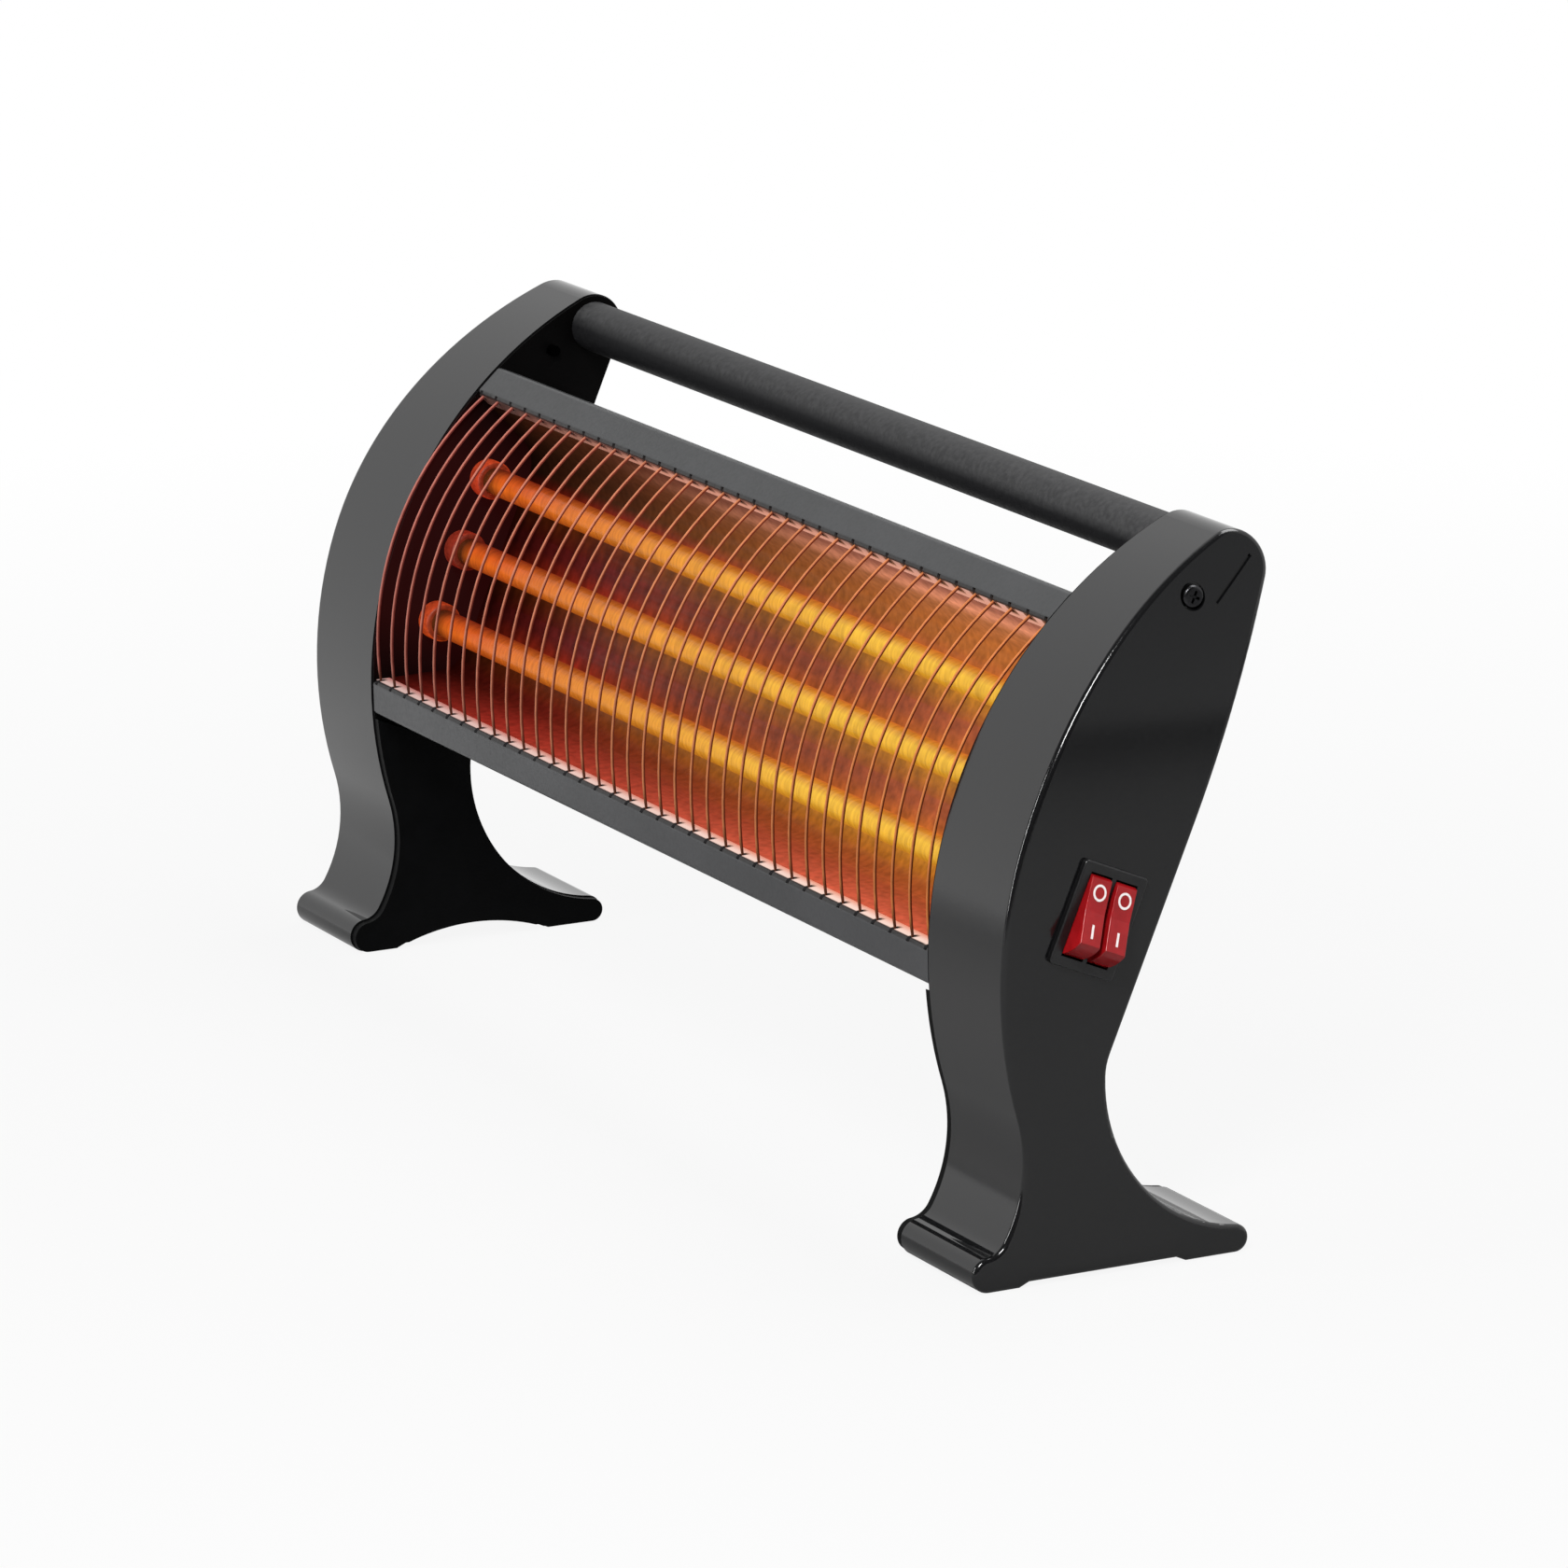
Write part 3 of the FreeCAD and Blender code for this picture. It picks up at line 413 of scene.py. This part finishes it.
# End plate: black paint, with a faint painted red glow round the tubes
def end_plate_material():
    s = Material("end_plate_paint")
    return s.surface(
        Base_Color=s.mottle(s.noise(25.0, 4.0), (0.0012, 0.0011, 0.0011), (0.0022, 0.0020, 0.0020)),
        Roughness=s.spread(s.noise(700.0, 2.0), 0.4, 0.5),
        Specular_IOR_Level=0.05,
        Emission_Color=(*shown(36, 6, 6), 1),
        Emission_Strength=s.span(s.off_centre(), 0.03, 0.056, 1.0, 0.0))


# Reflector: brushed mirror with the tubes' glow painted on as emission, dark at the left and golden at
# the right
def reflector_material():
    s = Material("reflector_mirror")
    height = s.height()
    level = s.level()
    across = s.across()
    share = s.span(across, 0.2, 0.82, 0.0, 1.0)

    # Painted glow in bands behind the tubes
    row = s.math("FRACT", s.span(height, -TUBE_ROWS_HALF, TUBE_ROWS_HALF, 0.0, TUBE_ROWS))
    dim = s.glow(row, (0.0, 92, 22, 16), (0.3, 96, 40, 12), (0.62, 136, 34, 18), (0.85, 96, 24, 22))
    lit = s.glow(row, (0.0, 166, 82, 34), (0.3, 188, 120, 26), (0.62, 190, 98, 40), (0.85, 168, 80, 42))
    glow = s.mix(share, dim, lit)

    # Painted glow on the upper fold and the lower trough
    lit_fold = s.glow(level, (0.87, 176, 98, 44), (0.93, 156, 94, 58), (0.95, 214, 136, 104),
                      (0.975, 140, 84, 72))
    fold = s.mix(share, shown(58, 32, 18), lit_fold)
    glow = s.mix(s.span(height, 0.031, 0.036, 0.0, 1.0), glow, fold)
    dim_trough = s.glow(level, (0.02, 150, 40, 32), (0.1, 92, 22, 14))
    lit_trough = s.glow(level, (0.02, 200, 82, 62), (0.07, 158, 62, 40), (0.14, 140, 64, 24))
    trough = s.mix(share, dim_trough, lit_trough)
    glow = s.mix(s.span(height, -0.046, -0.038, 1.0, 0.0), glow, trough)

    # Strength: dark left end, fine grain and a painted reflection of the wires in the flat part
    end = s.span(across, 0.0, 0.2, 0.08, 0.95)
    grain = s.spread(s.noise(320.0, 3.0), 0.76, 1.22)
    wires = s.span(s.near_wire(MIRROR_SHIFT), 0.2, 0.8, 0.0, 1.0)
    flat = s.span(s.off_centre(), 0.026, 0.034, 1.0, 0.0)
    # Dark stripes at the wires: painted reflection of the wires
    mirrored = s.times(wires, s.span(across, 0.2, 0.9, 0.36, 0.16), flat)
    return s.surface(
        Base_Color=(0.012, 0.004, 0.002, 1),
        Metallic=1.0,
        Roughness=s.spread(s.streak((14, 700, 700)), 0.28, 0.42),
        Emission_Color=glow,
        Emission_Strength=s.times(end, grain, s.math("SUBTRACT", MIRROR_FULL, mirrored)))


# Chromed wire with the glow painted on as emission: painted light on one side, painted shade on the
# other, dimmer toward its foot, and none behind the rails
def wire_material():
    s = Material("grille_chrome")
    across = s.across()
    # Lit and shaded tones of the glow: painted light on the side facing front-left, painted shade on the
    # other
    light = s.glow(across, (0.0, 204, 124, 116), (0.45, 228, 146, 98), (1.0, 236, 142, 72))
    dark = s.glow(across, (0.0, 92, 36, 36), (0.45, 96, 36, 24), (1.0, 70, 22, 8))
    turned = s.span(s.facing(FRONT_LEFT), -0.35, 0.55, 0.0, 1.0)
    inside = s.span(s.off_centre(), 0.0545, 0.057, 1.0, 0.0)
    # Painted glow dims toward the foot of the wire and brightens toward its top
    foot = s.span(s.height(), -0.0535, -0.0485, 0.08, 1.0)
    rise = s.span(s.level(), 0.1, 0.85, 0.55, 1.05)
    return s.surface(
        Base_Color=(0.10, 0.035, 0.02, 1),
        Metallic=1.0,
        Roughness=s.spread(s.noise(1200.0, 2.0), 0.45, 0.55),
        Emission_Color=s.mix(turned, dark, light),
        Emission_Strength=s.times(inside, foot, rise, s.spread(s.noise(300.0, 2.0), 0.8, 1.1)))


# Quartz that glows from inside, with the fine shadow of the winding
def quartz_material():
    s = Material("quartz")
    turn = s.span(s.facing(UPWARD), -1.0, 1.0, 0.0, 1.0)
    dim = s.glow(turn, (0.0, 140, 54, 12), (0.35, 214, 98, 24), (0.65, 206, 84, 24), (1.0, 104, 22, 12))
    lit = s.glow(turn, (0.0, 170, 116, 24), (0.3, 230, 176, 44), (0.6, 240, 190, 56), (1.0, 182, 88, 28))
    winding = s.spread(s.streak((620, 120, 120)), 0.74, 1.16)
    glass = s.principled(
        Base_Color=(0.05, 0.015, 0.005, 1),
        Roughness=0.2,
        Specular_IOR_Level=0.12,
        Emission_Color=s.mix(s.span(s.across(), 0.1, 0.7, 0.0, 1.0), dim, lit),
        Emission_Strength=s.times(winding, s.lit_length()))
    clear = s.add("ShaderNodeBsdfTransparent", Color=(1.0, 0.85, 0.7, 1))
    return s.finish(s.blend(GLASS_SHARE, clear, glass))


# Glowing coil drawn as fine bands along the element
def element_material():
    s = Material("element_glow")
    stops = [(0.0, (1.0, 0.2, 0.02)), (0.35, (1.0, 0.36, 0.04)), (1.0, (1.0, 0.6, 0.07))]
    coil = s.add("ShaderNodeTexWave", Vector=s.coords, Scale=180.0, Distortion=0.6, Detail=1.0)
    bands = s.span(coil.outputs["Fac"], 0.0, 1.0, 0.9, 1.8)
    return s.surface(
        Base_Color=(0.3, 0.1, 0.05, 1),
        Roughness=0.6,
        Emission_Color=s.ramp(s.across(), stops),
        Emission_Strength=s.times(bands, s.lit_length()))


# Ceramic cap with a red glow painted on as emission, strongest toward the tube, and painted shade on its
# end faces
def cap_material():
    s = Material("cap_ceramic")
    speck = s.noise(600.0, 3.0)
    # Painted glow of the tube, strongest at the cap's mouth
    painted_glow_reach = s.span(s.off_middle(), CAP_MOUTH, HOUSING_HALF, 1.0, 0.6)
    # Painted shade on the end faces
    ends = s.span(s.math("ABSOLUTE", s.facing(SIDEWAYS)), 0.4, 0.9, 1.0, 0.3)
    glow = s.glow(s.level(), (0.227, 214, 76, 22), (0.336, 190, 56, 18), (0.427, 120, 22, 12),
                  (0.573, 150, 30, 16), (0.682, 196, 50, 22), (0.809, 222, 72, 30))
    return s.surface(
        Base_Color=s.mottle(speck, (0.10, 0.015, 0.008), (0.16, 0.03, 0.014)),
        Roughness=0.4,
        Specular_IOR_Level=0.2,
        Emission_Color=glow,
        Emission_Strength=s.times(painted_glow_reach, ends, s.spread(speck, 0.45, 0.8)))


# White print of the marks
def legend_material():
    s = Material("legend_white")
    return s.surface(
        Base_Color=s.mottle(s.noise(500.0, 2.0), (0.84, 0.76, 0.75), (0.93, 0.87, 0.86)),
        Roughness=0.5)


# Materials by slot, or by node where a node has its own
materials = {
    "panel_plastic": panel_material(),
    "handle_paint": handle_material(),
    "plate_paint": end_plate_material(),
    "cover_plastic": plastic_material(
        "cover_plastic", (0.0011, 0.0012, 0.0013), (0.0020, 0.0021, 0.0023), 0.4, 0.5, gloss=0.05),
    "upper_rail": upper_rail_material(),
    "lower_rail": lower_rail_material(),
    "cover_paint": cover_material(),
    "reflector_mirror": reflector_material(),
    "grille_chrome": wire_material(),
    "quartz": quartz_material(),
    "element_glow": element_material(),
    "cap_ceramic": cap_material(),
    "terminal_steel": metal_material(
        "terminal_steel", (0.5, 0.5, 0.5), (0.68, 0.68, 0.68), 0.28, 0.42),
    "bus_brass": metal_material(
        "bus_brass", (0.66, 0.48, 0.2), (0.84, 0.64, 0.32), 0.25, 0.4),
    "switch_plastic": plastic_material(
        "switch_plastic", (0.005, 0.005, 0.0055), (0.009, 0.009, 0.0095), 0.3, 0.42),
    "rocker_red": plastic_material(
        "rocker_red", (0.27, 0.004, 0.006), (0.34, 0.007, 0.010), 0.16, 0.26, gloss=0.35, cloud=220.0),
    "pin_steel": metal_material(
        "pin_steel", (0.45, 0.45, 0.45), (0.6, 0.6, 0.6), 0.3, 0.45),
    "lead_insulation": plastic_material(
        "lead_insulation", (0.62, 0.6, 0.54), (0.74, 0.72, 0.66), 0.5, 0.65),
    "block_plastic": plastic_material(
        "block_plastic", (0.7, 0.67, 0.6), (0.8, 0.77, 0.7), 0.45, 0.6),
    "gland_plastic": plastic_material(
        "gland_plastic", (0.012, 0.012, 0.012), (0.022, 0.022, 0.022), 0.35, 0.5),
    "screw_steel": screw_material(),
}
slots = {entry["node"]: entry["material_slot"] for entry in frame["record"]["subparts"]}
for name, node in nodes.items():
    chosen = materials[name] if name in materials else materials[slots[name]]
    node.data.materials.clear()
    node.data.materials.append(chosen)


# Point on a rocker's dished face: w across it, s along it from the ridge, up off the face
def rocker_point(side, w, s, up):
    half = 1 if s >= 0 else -1
    out = CROWN + abs(s) * math.sin(ROCKER_DISH) + up * math.cos(ROCKER_DISH)
    rise = s * math.cos(ROCKER_DISH) - half * up * math.sin(ROCKER_DISH)
    x = out * math.cos(ROCKER_TILT) - rise * math.sin(ROCKER_TILT)
    t = out * math.sin(ROCKER_TILT) + rise * math.cos(ROCKER_TILT)
    return core_point(PIVOT_X + x, SWITCH_N + side * ROCKER_STEP + w, SWITCH_T + t)


# Ring section from the inner foot, over the top, to the outer foot
def ring_loops(side, centre):
    turns = [2 * math.pi * step / RING_STEPS for step in range(RING_STEPS)]
    section = ((RING_INNER, 0.0), (RING_INNER, MARK_SKIN), (RING_OUTER, MARK_SKIN), (RING_OUTER, 0.0))
    loops = []
    for radius, up in section:
        tall = RING_STRETCH * radius
        loops.append([rocker_point(side, radius * math.cos(turn), centre + tall * math.sin(turn), up)
                      for turn in turns])
    return loops


# Bar from its foot, up its sides, to the middle of its top
def bar_loops(side, centre):
    corners = ((-1, -1), (1, -1), (1, 1), (-1, 1))
    loops = []
    for share, up in ((1.0, 0.0), (1.0, MARK_SKIN), (BAR_CENTRE_SHARE, MARK_SKIN)):
        wide = BAR_HALF_WIDE * share
        long = BAR_HALF_LONG * share
        loops.append([rocker_point(side, wide * a, centre + long * b, up) for a, b in corners])
    return loops


# Thin inlay whose faces join each loop of points to the next
def mark(name, body, loops):
    count = len(loops[0])
    points = [point for loop in loops for point in loop]
    faces = []
    for level in range(len(loops) - 1):
        low = level * count
        high = low + count
        for index in range(count):
            after = (index + 1) % count
            faces.append((low + index, low + after, high + after, high + index))
    mesh = bpy.data.meshes.new(name)
    mesh.from_pydata(points, [], faces)
    mesh.materials.append(legend)
    piece = bpy.data.objects.new(name, mesh)
    scene.collection.objects.link(piece)
    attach(piece, body)


# White marks on the rockers: a ring at the off end and a bar at the on end
legend = legend_material()
for side, body in ((-1, "front_rocker"), (1, "rear_rocker")):
    mark(body + "_off_mark", body, ring_loops(side, MARK_OFFSET))
    mark(body + "_on_mark", body, bar_loops(side, -MARK_OFFSET))


# Matrix of an object from its three axes and its place
def placed(right, up, back, place):
    rows = [[right[i], up[i], back[i], place[i]] for i in range(3)]
    return Matrix(rows + [[0, 0, 0, 1]])


# Camera fitted to the photograph
camera_data = bpy.data.cameras.new("camera")
camera_data.lens = 186.43
camera_data.sensor_width = 36.0
camera = bpy.data.objects.new("camera", camera_data)
scene.collection.objects.link(camera)
camera.matrix_world = placed(
    right=(0.473425, 0.880834, 0.000412),
    up=(-0.218309, 0.116881, 0.968855),
    back=(0.853353, -0.458770, 0.247628),
    place=(2.393272, -1.276751, 0.798512))
scene.camera = camera


# White floor that keeps a faint shadow
def floor_material():
    s = Material("floor_white")
    matt = s.principled(
        Base_Color=s.mottle(s.noise(2.0, 2.0), (0.32, 0.32, 0.32), (0.36, 0.36, 0.36)),
        Roughness=0.9)
    white = s.add("ShaderNodeEmission", Color=(1, 1, 1, 1), Strength=1.0)
    path = s.add("ShaderNodeLightPath").outputs
    reach = s.add("ShaderNodeVectorMath")
    reach.operation = "LENGTH"
    s.feed(reach.inputs[0], s.coords)
    plain = s.span(reach.outputs["Value"], 0.3, 1.1, 0.9, 1.0)
    far = s.span(s.along(FAR_SIDE, Vector()), 0.08, 0.32, 0.05, 1.0)
    seen = s.times(s.math("MAXIMUM", path["Is Camera Ray"], path["Is Transmission Ray"]), plain)
    mirrored = s.times(path["Is Glossy Ray"], far)
    return s.finish(s.blend(s.math("MAXIMUM", seen, mirrored), matt, white))


floor_corners = [(FLOOR_HALF * a, FLOOR_HALF * b, 0) for a, b in ((-1, -1), (1, -1), (1, 1), (-1, 1))]
floor_mesh = bpy.data.meshes.new("floor")
floor_mesh.from_pydata(floor_corners, [], [(0, 1, 2, 3)])
floor_mesh.materials.append(floor_material())
floor = bpy.data.objects.new("floor", floor_mesh)
scene.collection.objects.link(floor)


# Studio: white backdrop on the far side, dimmer room on the camera's side
world = bpy.data.worlds.new("studio")
world.use_nodes = True
scene.world = world
studio = Shader(world.node_tree)
path = studio.add("ShaderNodeLightPath").outputs
toward = studio.dot(studio.add("ShaderNodeTexCoord").outputs["Generated"], CAMERA_SIDE)
room = studio.background(studio.span(toward, 0.0, 0.35, 1.0, 0.08))
fill = studio.blend(path["Is Glossy Ray"], studio.background(FILL_LIGHT), room)
seen = studio.math("MAXIMUM", path["Is Camera Ray"], path["Is Transmission Ray"])
whole = studio.blend(seen, fill, studio.background(BACKDROP_LIGHT))
studio.add("ShaderNodeOutputWorld", Surface=whole.outputs[0])


# Lamp that faces a point, its long side turned along a direction
def soft_light(name, place, aim, size, power, along=SIDEWAYS):
    data = bpy.data.lights.new(name, "AREA")
    data.shape = "RECTANGLE"
    data.size, data.size_y = size
    data.energy = power
    lamp = bpy.data.objects.new(name, data)
    away = (Vector(place) - Vector(aim)).normalized()
    rise = away.cross(Vector(along)).normalized()
    lamp.matrix_world = placed(rise.cross(away), rise, away, place)
    scene.collection.objects.link(lamp)


soft_light("rear_top", (0.1, 0.9, 1.9), (0, 0, 0.12), (1.6, 0.9), 30)
soft_light("front", (-0.2, -1.44, 0.5), (0.22, -0.06, 0.13), (0.12, 0.8), 8)
soft_light("edge", (1.08, -0.8, 1.31), (0.25, -0.03, 0.19), (0.62, 0.35), 28, (-0.18, 0.74, 0.66))

scene.view_settings.view_transform = "Standard"
